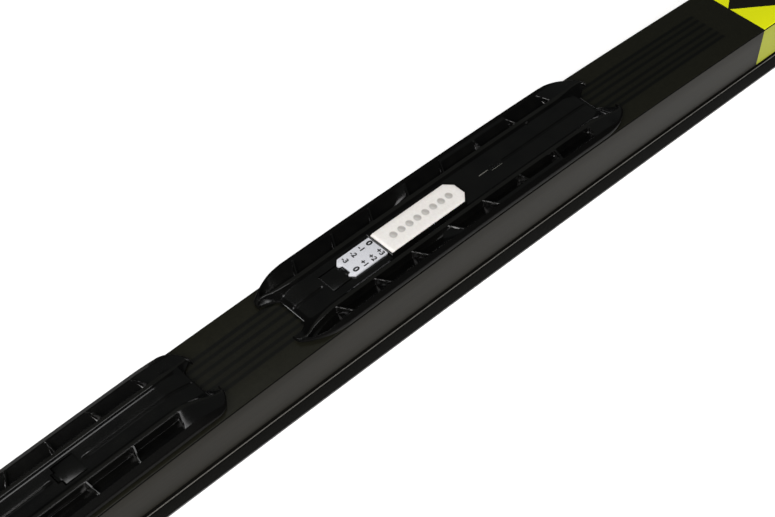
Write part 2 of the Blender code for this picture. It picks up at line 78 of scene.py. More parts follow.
# Binding plates: the first two in metres, all distances after them in mm
DATUM_X = -115 * MM
PLATE_BOTTOM = 0.9 * MM
FRONT_PLATE = dict(
    name="front_plate", rear_tip=-65.0, front_tip=134.5, half=20.75,
    floor=3.2, rail=4.2, rim_in=4.5, rim_out=4.1, rail_in=9.7, rail_out=11.5,
    pocket_out=18.2, pocket_depth=3.0, tip_height=2.5, rear_notch_end=8.4, front_notch_end=8.7,
    front_round=((0, 11.8), (0.3, 12.8), (1.2, 14.0), (3.5, 15.9), (6.5, 17.5), (10, 19.0),
                 (16, 20.4), (22, 20.75)),
    front_notch=((0, 11.4), (0.3, 10.7), (1.2, 10.0), (3.2, 8.6), (5.5, 6.9), (7.6, 5.4),
                 (8.7, 4.7)),
    rear_ridge=((0, 12.8), (4.5, 13.8), (8, 12.8), (13, 12.1), (21, 11.5)),
    front_ridge=((0, 12.6), (6, 12.6), (14, 12.0), (20, 11.5)),
    ribs=(-43.6, -22.2, -0.8, 20.6, 42.0, 65.3, 88.65, 112.0),
    creases=((-56.0, -39.5), (66.0, 124.0)))
REAR_PLATE = dict(
    name="rear_plate", rear_tip=-293.5, front_tip=-101.5, half=18.9,
    floor=5.9, rail=6.6, rim_in=5.5, rim_out=3.9, rail_in=7.2, rail_out=8.9,
    pocket_out=16.1, pocket_depth=3.2, tip_height=2.5, rear_notch_end=8.4, front_notch_end=5.2,
    front_round=((0, 10.6), (0.3, 11.8), (1.2, 13.4), (2.6, 15.6), (4.5, 17.5), (7, 18.6),
                 (11, 18.9), (22, 18.9)),
    front_notch=((0, 10.3), (0.3, 9.5), (1.2, 8.8), (3, 7.6), (4.4, 6.6), (5.2, 5.6)),
    rear_ridge=((0, 11.6), (4.5, 12.4), (8, 11.2), (13, 10.0), (21, 8.9)),
    front_ridge=((0, 11.2), (5, 10.6), (12, 9.6), (20, 8.9)),
    ribs=(-272.0, -250.6, -229.2, -207.8, -186.4, -165.0, -143.2, -121.4),
    creases=((-284.0, -173.5), (-160.0, -107.5)))
REAR_ROUND = ((0, 12.6), (0.25, 13.6), (0.8, 14.3), (2, 15.2), (4, 16.4), (7, 17.9), (13, 19.9),
              (20, 20.75))
REAR_NOTCH = ((0, 12.3), (0.25, 11.6), (0.8, 11.1), (2, 10.6), (4, 9.9), (6.5, 8.7), (7.9, 7.7),
              (8.4, 7.0))
LOW_FLOOR = 2.0                   # channel floor at the open ends, above the top sheet
FLOOR_CHAMFER = 3.7               # sloped end of the channel floor
HORN_GROW, FRONT_GROW = 19.0, 20.0   # run over which the ends rise to their full height
LEANS = (4.0, 4.0, 4.0, 4.0, 4.0, 0.7, -2.4, -2.9)   # how far each rib runs forward
NARROW_POCKETS, NARROWER = (4, 5), 1.7   # pockets of the front plate, and by how much
POCKET_FOOT = 1.1                 # the pocket's inner wall leans out by this much
# share of the pocket's depth at each distance from the middle of a rib
RIB_SHAPE = ((0.30, 0.0), (0.42, 0.06), (0.52, 0.22), (0.80, 0.92), (1.10, 1.0))
HORN_POCKET = (3.4, 5.4)          # where the pointed pocket starts and reaches its depth
RAMP_START, RAMP_LENGTH, RAMP_SHARE = 9.5, 10.0, 0.7   # ramp in one pocket's floor
RAIL_SHEEN_STRIP, RIM_STRIP = range(9, 12), range(23, 32)    # parts of plate_row with own finishes: the rim's matte strip, and the rail's top in a lighter gloss, painted sheen

# Lock rack, position label, latch tongues and small marks on the plates, in mm
RACK_REAR, RACK_FRONT = -7.2, 39.7
RACK_HALF, RACK_CHAMFER = 6.65, 3.6
RACK_LOW, RACK_HIGH, RACK_EDGE = 1.9, 4.3, 0.3
DIMPLES, DIMPLE_PITCH = 8, 4.75
DIMPLE_SHAPE = ((0.0, -0.2), (0.7, -0.2), (1.1, -0.17), (1.45, -0.1), (1.65, -0.04), (1.85, 0.0))
DIMPLE_STEP, DIMPLE_STEPS = 0.25, 9
LABEL_REAR, LABEL_FRONT, LABEL_HALF, LABEL_NARROWER = -28.5, -8.6, 6.1, 0.8
LABEL_CHAMFER, LABEL_NOTCH, LABEL_NOTCH_DEPTH, LABEL_TOP = 2.0, 2.5, 1.6, 4.3
DIGIT_ROWS = (-10.6, -15.1, -19.7, -24.4)
DIGIT_COLUMNS = ((3.6, ("0", "-1", "-2", "-3")), (-3.0, ("+3", "+2", "+1", "0")))
DIGIT_SIZE, ZERO_SIZE, DIGIT_WEIGHT, ZERO_WEIGHT, DIGIT_THICK = 3.5, 4.0, 0.11, 0.2, 0.05
TONGUE_HALF, NOSE_HALF, TONGUE_THICK = 4.5, 2.1, 1.0
TONGUE_LENGTH, NOSE_LENGTH, SLOT, ROOT_SLOT = 9.3, 1.6, 0.5, 0.08
NOSE_CURL, NOSE_CUTS, CUT_PITCH, TONGUE_EDGE = 1.2, 7, 0.3, 0.15
FRONT_TONGUE_X, REAR_TONGUE_X = -38.0, -161.0
GRIP_BARS, GRIP_X, GRIP_PITCH, GRIP_WIDTH, GRIP_HALF = 5, 59.2, 1.25, 0.45, 1.3
CUT_LOW, CUT_HIGH = -0.5, 12      # reach of the cutters

# Decoration of the top sheet
STRIPES = (2.2, 6.0, 9.5)         # distance of the tonal stripes from the centre line, mm
STRIPE_HALF, STRIPE_SOFT = 0.85, 0.15
STRIPE_SPAN = 20                  # half width of the stripes' ramp, mm
MIDDLE_HALF = 10.6                # half width of the darker middle zone that carries them
STRIPE_ENDS = (-430.0, 103.0)     # along the ski, mm
GRAPHIC_X = 122.7                 # straight rear edge of the yellow graphic
GRAPHIC_APEX_Y = 1.9              # apex of the black chevron in it
GRAPHIC_SLOPE = 0.6               # Y run of its arms for each unit of X
GRAPHIC_GAP = 0.6                 # black left between the facets at their rear edge, mm each side
GRAPHIC_BAND = (10.0, 16.0, 46.0)  # widths along X of chevron, gap and yellow band, mm
GRAPHIC_SIDE, GRAPHIC_SIDE_RAKE = 58, 0.6   # length and rake of the graphic on the cap's sides

# Camera and lights
CAMERA_AT = (-442.5 * MM, -297.9 * MM, 522.2 * MM)
CAMERA_AZIMUTH, CAMERA_ELEVATION, CAMERA_ROLL = -47.07, 47.75, 3.04
CAMERA_PITCH = 0.00966            # the binding area leans up towards the tip by this slope
CAMERA_LENS = 72.07

# Each light: name, direction from the plates, distance, size, power, colour
LIGHTS = (
    ("key", (-0.80, -0.35, 0.60), 2.0, (1.4, 1.3), 36, (1, 0.98, 0.965)),
    ("fill", (-0.30, -0.75, 0.72), 2.0, (1.2, 0.8), 24, (1, 0.98, 0.965)),
    ("zenith", (0.08, 0.22, 0.97), 2.0, (0.55, 0.5), 3.0, (1, 1, 1)),
    ("rear_strip", (-0.70, 0.46, 0.50), 1.6, (0.9, 0.2), 4.0, (1, 1, 1)),
    ("ceiling", (0.49, 0.46, 0.74), 2.0, (1.8, 1.8), 0.65, (0.95, 1, 0.95)),
)


# --- Shape of the ski ---------------------------------------------------------

def smooth(t):
    """Ease from 0 to 1."""
    t = min(max(t, 0.0), 1.0)
    return t * t * (3 - 2 * t)


def mix(a, b, t):
    return a + (b - a) * t


def through(x, points):
    """Straight runs through a few (distance, value) points, flat beyond them."""
    if x <= points[0][0]:
        return points[0][1]
    for (xa, va), (xb, vb) in zip(points, points[1:]):
        if x <= xb:
            return mix(va, vb, (x - xa) / (xb - xa))
    return points[-1][1]


def flowing(x, points):
    """Smooth run through a few (distance, value) points, flat beyond them."""
    if x <= points[0][0]:
        return points[0][1]
    if x >= points[-1][0]:
        return points[-1][1]
    secants = [(b[1] - a[1]) / (b[0] - a[0]) for a, b in zip(points, points[1:])]
    slopes = [secants[0]]
    slopes += [(a + b) / 2 if a * b > 0 else 0.0 for a, b in zip(secants, secants[1:])]
    slopes.append(secants[-1])
    k = max(i for i, p in enumerate(points[:-1]) if p[0] <= x)
    (xa, va), (xb, vb) = points[k], points[k + 1]
    run = xb - xa
    t = (x - xa) / run
    return (va * (1 + 2 * t) * (1 - t) ** 2 + vb * t * t * (3 - 2 * t)
            + slopes[k] * run * t * (1 - t) ** 2 - slopes[k + 1] * run * t * t * (1 - t))


def base_height(x):
    """Height of the running surface's centre line."""
    reach = (FRONT_CONTACT_X if x > CAMBER_TOP_X else REAR_CONTACT_X) - CAMBER_TOP_X
    u = min((x - CAMBER_TOP_X) / reach, 1.0)
    tip = max(0.0, (x - FRONT_CONTACT_X) / (TIP_X - FRONT_CONTACT_X)) ** TIP_POWER
    tail = max(0.0, (REAR_CONTACT_X - x) / (REAR_CONTACT_X - TAIL_X)) ** 2
    return CAMBER * (1 - u * u) ** 2 + TIP_RISE * tip + TAIL_RISE * tail


def base_half(x):
    """Half width of the running base."""
    side = (x - SIDECUT_START_X) / (SHOULDER_X - SIDECUT_START_X)
    half = mix(WAIST_HALF, SHOULDER_HALF, smooth(side))
    if x > NOSE_START_X:
        u = (x - NOSE_START_X) / (TIP_X - NOSE_START_X)
        half *= max(0.0, 1 - u ** 2.2) ** 0.5
    corner = TAIL_X + TAIL_ROUND
    if x < corner:
        v = min((corner - x) / TAIL_ROUND, 1.0)
        half -= TAIL_CORNER * (1 - math.sqrt(1 - v * v))
    return half


def thickness(x):
    """Thickness of the ski, square to its running surface."""
    u = min(abs(x - THICK_TOP_X) / THICK_REACH, 1.0)
    thick = THICK_END + (THICK_MIDDLE - THICK_END) * (1 + math.cos(math.pi * u)) / 2
    thin = max(0.0, (x - THIN_TIP_START_X) / (TIP_X - THIN_TIP_START_X))
    return thick - THICK_TIP_LOSS * thin * thin


def ledge(x):
    """Height of the step where the cap sits on the sidewall strips."""
    return LEDGE_FIXED + LEDGE_SHARE * thickness(x)


def groove(x):
    """Depth of the running groove."""
    return GROOVE_DEPTH * smooth((GROOVE_END_X - x) / (40 * MM))


def at(x, y, h):
    """Point at height h above the running surface, square to it."""
    step = 0.5 * MM
    rise = (base_height(x + step) - base_height(x - step)) / (2 * step)
    run = math.hypot(1, rise)
    return Vector((x - h * rise / run, y, base_height(x) + h / run))


def on_plate(x, y, h):
    """Point above the top sheet, from plate distances in mm."""
    x = DATUM_X + x * MM
    return at(x, y * MM, thickness(x) + h * MM)


def stations(start, end):
    """Even stations along the ski, closer together where the tip bends and narrows."""
    xs = [start]
    while xs[-1] < end - 1e-6:
        x = xs[-1]
        step = 14 * MM if x < 700 * MM else 8 * MM if x < 850 * MM else 4 * MM
        xs.append(min(x + step, end))
    return xs


# --- Mesh helpers -------------------------------------------------------------

def finish_mesh(name, bm, materials, sharp=35):
    """Object with outward faces, smooth except at its edges."""
    bmesh.ops.recalc_face_normals(bm, faces=bm.faces)
    mesh = bpy.data.meshes.new(name)
    bm.to_mesh(mesh)
    bm.free()
    mesh.shade_smooth()
    mesh.set_sharp_from_angle(angle=math.radians(sharp))
    obj = bpy.data.objects.new(name, mesh)
    bpy.context.scene.collection.objects.link(obj)
    for mat in materials:
        mesh.materials.append(mat)
    return obj


def add_skin(bm, rings, slots=None):
    """Closed skin over rings with the same number of points; slots gives a material per row."""
    rows = [[bm.verts.new(p) for p in ring] for ring in rings]
    count = len(rows[0])
    for a, b in zip(rows, rows[1:]):
        for i in range(count):
            j = (i + 1) % count
            face = bm.faces.new((a[i], a[j], b[j], b[i]))
            if slots:
                face.material_index = slots[i]
    for end in (rows[0], rows[-1]):
        bm.faces.new(end)


def mirrored(half):
    """Whole section from its half at positive y."""
    return list(half) + [(-y, h) for y, h in reversed(half)]


def carve(obj, cutter):
    """Take the cutter away from the object, and the cutter with it."""
    modifier = obj.modifiers.new("cut", "BOOLEAN")
    modifier.operation, modifier.solver, modifier.object = "DIFFERENCE", "EXACT", cutter
    depsgraph = bpy.context.evaluated_depsgraph_get()
    mesh = bpy.data.meshes.new_from_object(obj.evaluated_get(depsgraph))
    obj.modifiers.clear()
    obj.data = mesh
    bpy.data.objects.remove(cutter)


def offset_outline(outline, inset):
    """Plan outline moved inwards by an inset, corner by corner."""
    count = len(outline)
    area = sum(outline[i - 1][0] * outline[i][1] - outline[i][0] * outline[i - 1][1]
               for i in range(count))
    turn = 1 if area > 0 else -1
    moved = []
    for i in range(count):
        before, here, after = (Vector(outline[k % count]) for k in (i - 1, i, i + 1))
        a, b = (here - before).normalized(), (after - here).normalized()
        na, nb = Vector((-a.y, a.x)) * turn, Vector((-b.y, b.x)) * turn
        corner = (na + nb) / max(1 + na.dot(nb), 0.3)
        moved.append(tuple(here + corner * inset))
    return moved


def rounded_slab(bm, outline, low, high, radius):
    """Flat piece of a plan outline with rounded edges, placed on the plate."""
    turns = [math.radians(a) for a in (0, 30, 60, 90)]
    profile = [(radius * (1 - math.sin(t)), low + radius * (1 - math.cos(t))) for t in turns]
    profile += [(radius * (1 - math.cos(t)), high - radius * (1 - math.sin(t))) for t in turns]
    rings = []
    for inset, h in profile:
        ring = offset_outline(outline, inset)
        rings.append([on_plate(x, y, h) for x, y in ring])
    add_skin(bm, rings)


# --- Materials ----------------------------------------------------------------

def linear(srgb):
    """Scene colour from a screen colour in 0 to 255."""
    parts = [c / 255 for c in srgb]
    return [((c + 0.055) / 1.055) ** 2.4 if c > 0.04045 else c / 12.92 for c in parts] + [1.0]


class Surface:
    """Principled material whose nodes read the piece's own coordinates in metres."""

    def __init__(self, name, roughness=0.5, metallic=0.0, **sockets):
        self.mat = bpy.data.materials.new(name)
        self.mat.use_nodes = True
        self.tree = self.mat.node_tree
        self.shader = self.tree.nodes["Principled BSDF"]
        self.set("Roughness", roughness)
        self.set("Metallic", metallic)
        for socket, value in sockets.items():
            self.set(socket.replace("_", " "), value)
        self.place = self.node("ShaderNodeTexCoord").outputs["Object"]

    def set(self, socket, value):
        self.shader.inputs[socket].default_value = value

    def node(self, kind, links=(), **settings):
        """New node with its settings and (input, source) links."""
        made = self.tree.nodes.new(kind)
        for key, value in settings.items():
            setattr(made, key, value)
        for socket, source in links:
            self.feed(made.inputs[socket], source)
        return made

    def feed(self, socket, source):
        if isinstance(source, bpy.types.NodeSocket):
            self.tree.links.new(source, socket)
        else:
            socket.default_value = source

    def math(self, operation, *values):
        links = list(enumerate(values))
        return self.node("ShaderNodeMath", links, operation=operation).outputs[0]

    def noise(self, size, detail=3.0, stretch=(1, 1, 1)):
        """Noise with features of about the given size in metres."""
        place = self.node("ShaderNodeMapping", [(0, self.place), (3, stretch)]).outputs[0]
        made = self.node("ShaderNodeTexNoise", [("Vector", place), ("Scale", 1 / size),
                                                ("Detail", detail)])
        return made.outputs[0]

    def ramp(self, source, stops):
        """Colour ramp with (position, colour or grey) stops."""
        made = self.node("ShaderNodeValToRGB", [(0, source)])
        elements = made.color_ramp.elements
        while len(elements) < len(stops):
            elements.new(0.5)
        for element, (position, value) in zip(elements, stops):
            element.position = position
            element.color = value if hasattr(value, "__len__") else (value, value, value, 1)
        return made.outputs[0]

    def blend(self, factor, a, b):
        """Colour between a and b."""
        made = self.node("ShaderNodeMix", data_type="RGBA")
        for index, value in ((0, factor), (6, a), (7, b)):
            self.feed(made.inputs[index], value)
        return made.outputs[2]

    def axis(self, name):
        return self.node("ShaderNodeSeparateXYZ", [(0, self.place)]).outputs[name]

    def vary_roughness(self, source, low, high):
        made = self.node("ShaderNodeMapRange", [(0, source), (3, low), (4, high)])
        self.tree.links.new(made.outputs[0], self.shader.inputs["Roughness"])

    def bump(self, *layers):
        """Stack of (height source, depth in metres) bumps."""
        normal = None
        for source, depth in layers:
            made = self.node("ShaderNodeBump", [("Height", source), ("Distance", depth)])
            if normal:
                self.tree.links.new(normal, made.inputs["Normal"])
            normal = made.outputs[0]
        self.tree.links.new(normal, self.shader.inputs["Normal"])

    def colour(self, source):
        self.feed(self.shader.inputs["Base Color"], source)


def step_up(s, value, edge, soft):
    """0 below an edge and 1 above it, over a short soft run."""
    made = s.node("ShaderNodeMapRange", [(0, value), (1, edge - soft), (2, edge + soft)])
    return made.outputs[0]


def graphic_mask(s):
    """Yellow share of the graphic: two facets, a black chevron, then a band of its shape."""
    x = s.math("DIVIDE", s.axis("X"), MM)
    y = s.math("DIVIDE", s.axis("Y"), MM)
    across = s.math("ABSOLUTE", s.math("SUBTRACT", y, GRAPHIC_APEX_Y))
    back = s.math("SUBTRACT", x, s.math("DIVIDE", across, GRAPHIC_SLOPE))
    behind = s.math("SUBTRACT", GRAPHIC_X - GRAPHIC_GAP / GRAPHIC_SLOPE, back)
    facet = s.math("MULTIPLY", step_up(s, x, GRAPHIC_X, 0.12), step_up(s, behind, 0.0, 0.1))
    start, gap, width = GRAPHIC_BAND
    from_edge = s.math("SUBTRACT", back, GRAPHIC_X + start + gap)
    band = s.math("MULTIPLY", step_up(s, from_edge, 0.0, 0.1),
                  step_up(s, s.math("SUBTRACT", width, from_edge), 0.0, 0.1))
    return s.math("MAXIMUM", facet, band)


def topsheet_material():
    """Satin film: near-black olive, tonal stripes, and the yellow graphic ahead of the plates."""
    s = Surface("satin_topsheet", 0.38, Specular_IOR_Level=0.2)
    ground = s.ramp(s.noise(1.4 * MM, 5), ((0.35, linear((21, 21, 15))),
                                           (0.7, linear((25, 25, 18)))))
    offset = s.math("DIVIDE", s.math("ABSOLUTE", s.axis("Y")), STRIPE_SPAN * MM)
    stops = [(0.0, 0.0)]
    for centre in STRIPES:
        low, high = centre - STRIPE_HALF, centre + STRIPE_HALF
        edges = (low - STRIPE_SOFT, low + STRIPE_SOFT, high - STRIPE_SOFT, high + STRIPE_SOFT)
        stops += [(edge / STRIPE_SPAN, share) for edge, share in zip(edges, (0.0, 1.0, 1.0, 0.0))]
    stripes = s.ramp(offset, stops)
    first, last = (end * MM for end in STRIPE_ENDS)
    along = s.math("MULTIPLY", step_up(s, s.axis("X"), first, 0.4 * MM),
                   step_up(s, s.math("SUBTRACT", last, s.axis("X")), 0.0, 0.4 * MM))
    shade = s.math("MULTIPLY", stripes, along)
    inside = s.math("SUBTRACT", MIDDLE_HALF / STRIPE_SPAN, offset)
    middle = s.math("MULTIPLY", along, step_up(s, inside, 0.0, 0.01))
    ground = s.blend(s.math("MULTIPLY", middle, 0.3), ground, linear((12, 13, 11)))
    dark = s.blend(shade, ground, linear((9, 10, 8)))
    s.colour(s.blend(graphic_mask(s), dark, linear((232, 238, 20))))
    s.vary_roughness(s.noise(0.5 * MM, 4), 0.33, 0.43)
    s.bump((s.noise(0.35 * MM, 3), 0.006 * MM))
    return s.mat


def side_material():
    """Cap side: the same film, warm grey and brushed lengthwise, with the graphic's side, whose
    yellow is darker than on top: painted shade on the side.
    """
    s = Surface("cap_side_film", 0.34, Specular_IOR_Level=0.05)
    streaks = s.noise(0.9 * MM, 4, (0.04, 1, 1))
    ground = s.ramp(streaks, ((0.3, linear((24, 23, 19))), (0.75, linear((31, 29, 24)))))
    start = step_up(s, s.axis("X"), GRAPHIC_X * MM, 0.12 * MM)
    raked = s.math("ADD", s.axis("X"), s.math("MULTIPLY", s.axis("Z"), GRAPHIC_SIDE_RAKE))
    end = step_up(s, s.math("SUBTRACT", (GRAPHIC_X + GRAPHIC_SIDE) * MM, raked), 0.0, 0.12 * MM)
    # painted shade: the graphic's yellow is darker here than on the top sheet
    s.colour(s.blend(s.math("MULTIPLY", start, end), ground, linear((152, 157, 44))))
    s.vary_roughness(streaks, 0.28, 0.4)
    s.bump((s.noise(0.4 * MM, 3), 0.008 * MM))
    return s.mat


def grained(name, dark, light, rough, grain, depth, detail=4, **sockets):
    """Moulded or sintered plastic: fine grain in colour, roughness and height."""
    s = Surface(name, sum(rough) / 2, **sockets)
    fine = s.noise(grain, detail)
    s.colour(s.ramp(fine, ((0.32, linear(dark)), (0.72, linear(light)))))
    s.vary_roughness(s.noise(grain * 1.7, 3), *rough)
    s.bump((fine, depth))
    return s.mat


def gloss_material(name, dark, light):
    """Injection-moulded gloss black, with faint flow marks and fine handling scratches."""
    s = Surface(name, 0.14, Specular_IOR_Level=0.5)
    flow = s.noise(9 * MM, 2)
    s.colour(s.ramp(flow, ((0.3, linear(dark)), (0.7, linear(light)))))
    scratches = s.noise(0.5 * MM, 4, (0.05, 1, 1))
    s.vary_roughness(s.noise(2.2 * MM, 5), 0.12, 0.2)
    s.bump((flow, 0.02 * MM), (scratches, 0.0004 * MM))
    return s.mat


def rack_material():
    """White plastic, with painted shade in the dimples: greyer discs, darkest on the side towards
    the tip and the ski's left.
    """
    s = Surface("white_rack", 0.36, Subsurface_Weight=0.06)
    fine = s.noise(1.2 * MM)
    white = s.ramp(fine, ((0.32, linear((236, 230, 225))), (0.72, linear((243, 238, 233)))))
    along = s.math("DIVIDE", s.math("SUBTRACT", s.axis("X"), DATUM_X), DIMPLE_PITCH * MM)
    nearest = s.math("ROUND", s.math("MINIMUM", s.math("MAXIMUM", along, 0.0), DIMPLES - 1.0))
    beside = s.math("MULTIPLY", s.math("SUBTRACT", along, nearest), DIMPLE_PITCH)
    dx = s.math("SUBTRACT", beside, 0.2)
    dy = s.math("SUBTRACT", s.math("DIVIDE", s.axis("Y"), MM), 0.15)
    radius = s.math("SQRT", s.math("ADD", s.math("MULTIPLY", dx, dx), s.math("MULTIPLY", dy, dy)))
    dish = s.ramp(s.math("DIVIDE", radius, 2.5), ((0.3, 0.9), (0.58, 1.0), (0.8, 0.0)))
    across = s.math("ADD", s.math("MULTIPLY", dx, 0.85), s.math("MULTIPLY", dy, 0.5))
    # painted shade: each dimple's disc is greyer, darkest on its side towards the tip and the ski's
    # left
    dimple_painted_shade = s.ramp(s.math("ADD", s.math("MULTIPLY", across, 0.35), 0.45),
                   ((0.0, linear((214, 209, 205))), (0.75, linear((160, 155, 151))),
                    (1.0, linear((172, 167, 163)))))
    s.colour(s.blend(dish, white, dimple_painted_shade))
    s.vary_roughness(s.noise(2 * MM, 3), 0.3, 0.42)
    s.bump((fine, 0.004 * MM))
    return s.mat


def label_material():
    """Printed film: cool white, finely speckled."""
    s = Surface("label_film", 0.45)
    cells = [("Vector", s.place), ("Scale", 1 / (0.42 * MM))]
    specks = s.node("ShaderNodeTexVoronoi", cells).outputs["Distance"]
    dots = s.ramp(specks, ((0.16, linear((150, 152, 160))), (0.34, linear((214, 216, 221)))))
    s.colour(s.blend(0.55, linear((208, 210, 216)), dots))
    s.vary_roughness(specks, 0.4, 0.52)
    s.bump((specks, 0.01 * MM))
    return s.mat


def wood_material():
    """Core wood with lengthwise grain."""
    s = Surface("core_wood", 0.62)
    grain = s.noise(1.5 * MM, 6, (0.03, 1, 1))
    s.colour(s.ramp(grain, ((0.3, linear((170, 128, 82))), (0.7, linear((212, 176, 124))))))
    s.bump((grain, 0.05 * MM))
    return s.mat


def woven_material(name, dark, light):
    """Resin laminate with a fine crossed weave."""
    s = Surface(name, 0.42)
    waves = [s.node("ShaderNodeTexWave", [("Vector", s.place), ("Scale", 260.0)],
                    bands_direction=d).outputs[1] for d in ("X", "Y")]
    weave = s.math("MULTIPLY", *waves)
    s.colour(s.ramp(weave, ((0.1, linear(dark)), (0.6, linear(light)))))
    s.bump((weave, 0.04 * MM))
    return s.mat


# --- Ski body -----------------------------------------------------------------

def cap_section(x):
    """Half section of the cap, from the middle of its top down to its foot and back inside."""
    half, low, high = base_half(x), ledge(x), thickness(x)
    lip, foot, top = half - 0.25 * MM, half - SIDE_INSET, half - TOP_INSET
    ring = [(0, high), (0.5 * top, high)]
    for angle in (0, 22.5, 45, 67.5, 90):
        a = math.radians(angle)
        ring.append((top - TOP_RADIUS * (1 - math.sin(a)), high - TOP_RADIUS * (1 - math.cos(a))))
    ring += [(mix(top, foot, t), mix(high - TOP_RADIUS, low + 2.1 * MM, t)) for t in (0.33, 0.66)]
    ring += [(foot, low + 2.1 * MM), (foot + 0.06 * MM, low + 1.65 * MM),
             (foot + 0.3 * MM, low + 1.3 * MM), (foot + 0.7 * MM, low + 1.12 * MM),
             (lip - 0.28 * MM, low + 1.0 * MM), (lip - 0.08 * MM, low + 0.88 * MM),
             (lip, low + 0.65 * MM), (lip, low + SEAM)]
    ring += [(foot - CAP_WALL, low + SEAM), (top - CAP_WALL, high - CAP_WALL), (0, high - CAP_WALL)]
    return ring


# Material of each stretch of the half section: top sheet, side film, sidewall, painted shade (outer
# half of the top edge's rounding, fillet above the ledge), painted highlight (ledge's lip)
CAP_SLOTS = [0] * 4 + [3] * 2 + [1] * 4 + [3] * 3 + [4] * 2 + [2] * 3 + [1]


def half_skin(name, xs, section, materials, slots):
    """Symmetric piece from half sections that start and end on the centre plane."""
    bm = bmesh.new()
    rings = []
    for x in xs:
        half = section(x)
        rings.append([at(x, y, h) for y, h in half]
                     + [at(x, -y, h) for y, h in reversed(half[1:-1])])
    add_skin(bm, rings, slots + slots[::-1])
    return finish_mesh(name, bm, materials)


def base_section(x):
    """Running base: groove in the middle, softened lower corners."""
    half, deep = base_half(x), groove(x)
    low = [(0, deep), (GROOVE_HALF - 1.0 * MM, deep), (GROOVE_HALF - 0.7 * MM, deep * 0.9),
           (GROOVE_HALF - 0.1 * MM, deep * 0.1), (GROOVE_HALF + 0.2 * MM, 0)]
    outer = [(half - 0.3 * MM, 0), (half - 0.08 * MM, 0.08 * MM), (half, 0.3 * MM)]
    top = [(half, BASE_THICK - SEAM), (GROOVE_HALF + 1.4 * MM, BASE_THICK - SEAM),
           (GROOVE_HALF + 0.6 * MM, BASE_THICK + deep), (0, BASE_THICK + deep)]
    return low + outer + top


def edge_ring(x, side):
    """Sidewall strip with a rounded upper corner."""
    half, low, high = base_half(x) - 0.1 * MM, BASE_THICK + SEAM, ledge(x) - SEAM
    ring = [(half - EDGE_WIDTH, low), (half, low), (half, high - 0.35 * MM),
            (half - 0.1 * MM, high - 0.1 * MM), (half - 0.35 * MM, high), (half - EDGE_WIDTH, high)]
    return [at(x, side * y, h) for y, h in ring]


def protector_ring(x):
    """Moulded end piece with a rounded edge."""
    half, high = base_half(x), thickness(x)
    turns = [math.radians(-90 + 180 * k / 10) for k in range(11)]
    bulge = min(0.32 * high, 0.45 * half)
    section = [(half - bulge * (1 - math.cos(t)), high * (1 + math.sin(t)) / 2) for t in turns]
    return [at(x, y, h) for y, h in mirrored(section)]


def build_body():
    xs = stations(BODY_REAR_X, BODY_FRONT_X)
    sidewall = grained("abs_sidewall", (6, 6, 5), (10, 10, 8), (0.6, 0.75), 0.3 * MM, 0.02 * MM,
                       Specular_IOR_Level=0.02)
    # painted shade: near-black film on the outer half of the cap's rounded top edge and in the
    # fillet above the ledge
    painted_edge_shade = grained("cap_painted_shade", (6, 6, 5), (11, 11, 9), (0.5, 0.65), 0.3 * MM, 0.01 * MM,
                   Specular_IOR_Level=0.02)
    # painted highlight: light grey, glossier film on the rounded lip of the ledge
    lip_painted_highlight = grained("cap_lip_painted_highlight", (66, 65, 61), (88, 86, 81), (0.3, 0.4), 0.3 * MM,
                      0.01 * MM, Specular_IOR_Level=0.3)
    base = grained("sintered_base", (24, 24, 26), (40, 40, 42), (0.35, 0.55), 0.5 * MM, 0.01 * MM)
    moulded = grained("protector_plastic", (14, 14, 14), (20, 20, 20), (0.3, 0.45), 0.8 * MM,
                      0.01 * MM)
    films = [topsheet_material(), side_material(), sidewall, painted_edge_shade, lip_painted_highlight]
    cap = half_skin("cap", xs, cap_section, films, CAP_SLOTS)
    put(cap, "ski", "topsheet_cap")
    running = half_skin("base", xs, base_section, [base], [])
    put(running, "ski", "running_base")
    for label, side in (("left", 1), ("right", -1)):
        bm = bmesh.new()
        add_skin(bm, [edge_ring(x, side) for x in xs])
        strip = finish_mesh("sidewall_" + label, bm, [sidewall])
        put(strip, "ski", "base_edge_" + label)
    span = TIP_X - BODY_FRONT_X - GAP
    nose = [TIP_X - span * (1 - k / 24) ** 2 for k in range(24)] + [TIP_X - 0.02 * MM]
    end = [TAIL_X + TAIL_ROUND * (1 - math.cos(math.pi / 2 * k / 16)) for k in range(17)]
    for name, run in (("tip_protector", nose), ("tail_protector", end + [BODY_REAR_X - GAP])):
        bm = bmesh.new()
        add_skin(bm, [protector_ring(x) for x in run])
        put(finish_mesh(name + "_moulding", bm, [moulded]), "ski", name)


def put(obj, body, node):
    """Rest a piece on its body in place of a CAD node, which is hidden."""
    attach(obj, body)
    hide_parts(node)


# --- Binding plates -----------------------------------------------------------

def plate_half(plate, x):
    """Half width of a plate in plan."""
    rear = flowing(x - plate["rear_tip"], REAR_ROUND) * plate["half"] / FRONT_PLATE["half"]
    return min(rear, flowing(plate["front_tip"] - x, plate["front_round"]))


def notch_half(plate, x):
    """Half width of the open end of the channel."""
    if x - plate["rear_tip"] <= plate["rear_notch_end"] + 1e-6:
        scale = plate["half"] / FRONT_PLATE["half"]
        return flowing(x - plate["rear_tip"], REAR_NOTCH) * scale
    return flowing(plate["front_tip"] - x, plate["front_notch"])


def ridge(plate, s):
    """Outer edge of the rail, which swings out into the horns."""
    rear, front = s - plate["rear_tip"], plate["front_tip"] - s
    if rear < front:
        return flowing(rear, plate["rear_ridge"])
    return flowing(front, plate["front_ridge"])


def notch_ends(plate):
    """Where the open ends of the channel stop and its floor begins."""
    return (plate["rear_tip"] + plate["rear_notch_end"],
            plate["front_tip"] - plate["front_notch_end"])


def lean(plate, s):
    """How far a station's line has moved forward by the time it reaches the rim."""
    points = [(plate["rear_tip"], 0.0), *zip(plate["ribs"], LEANS), (plate["front_tip"], 0.0)]
    return through(s, points)


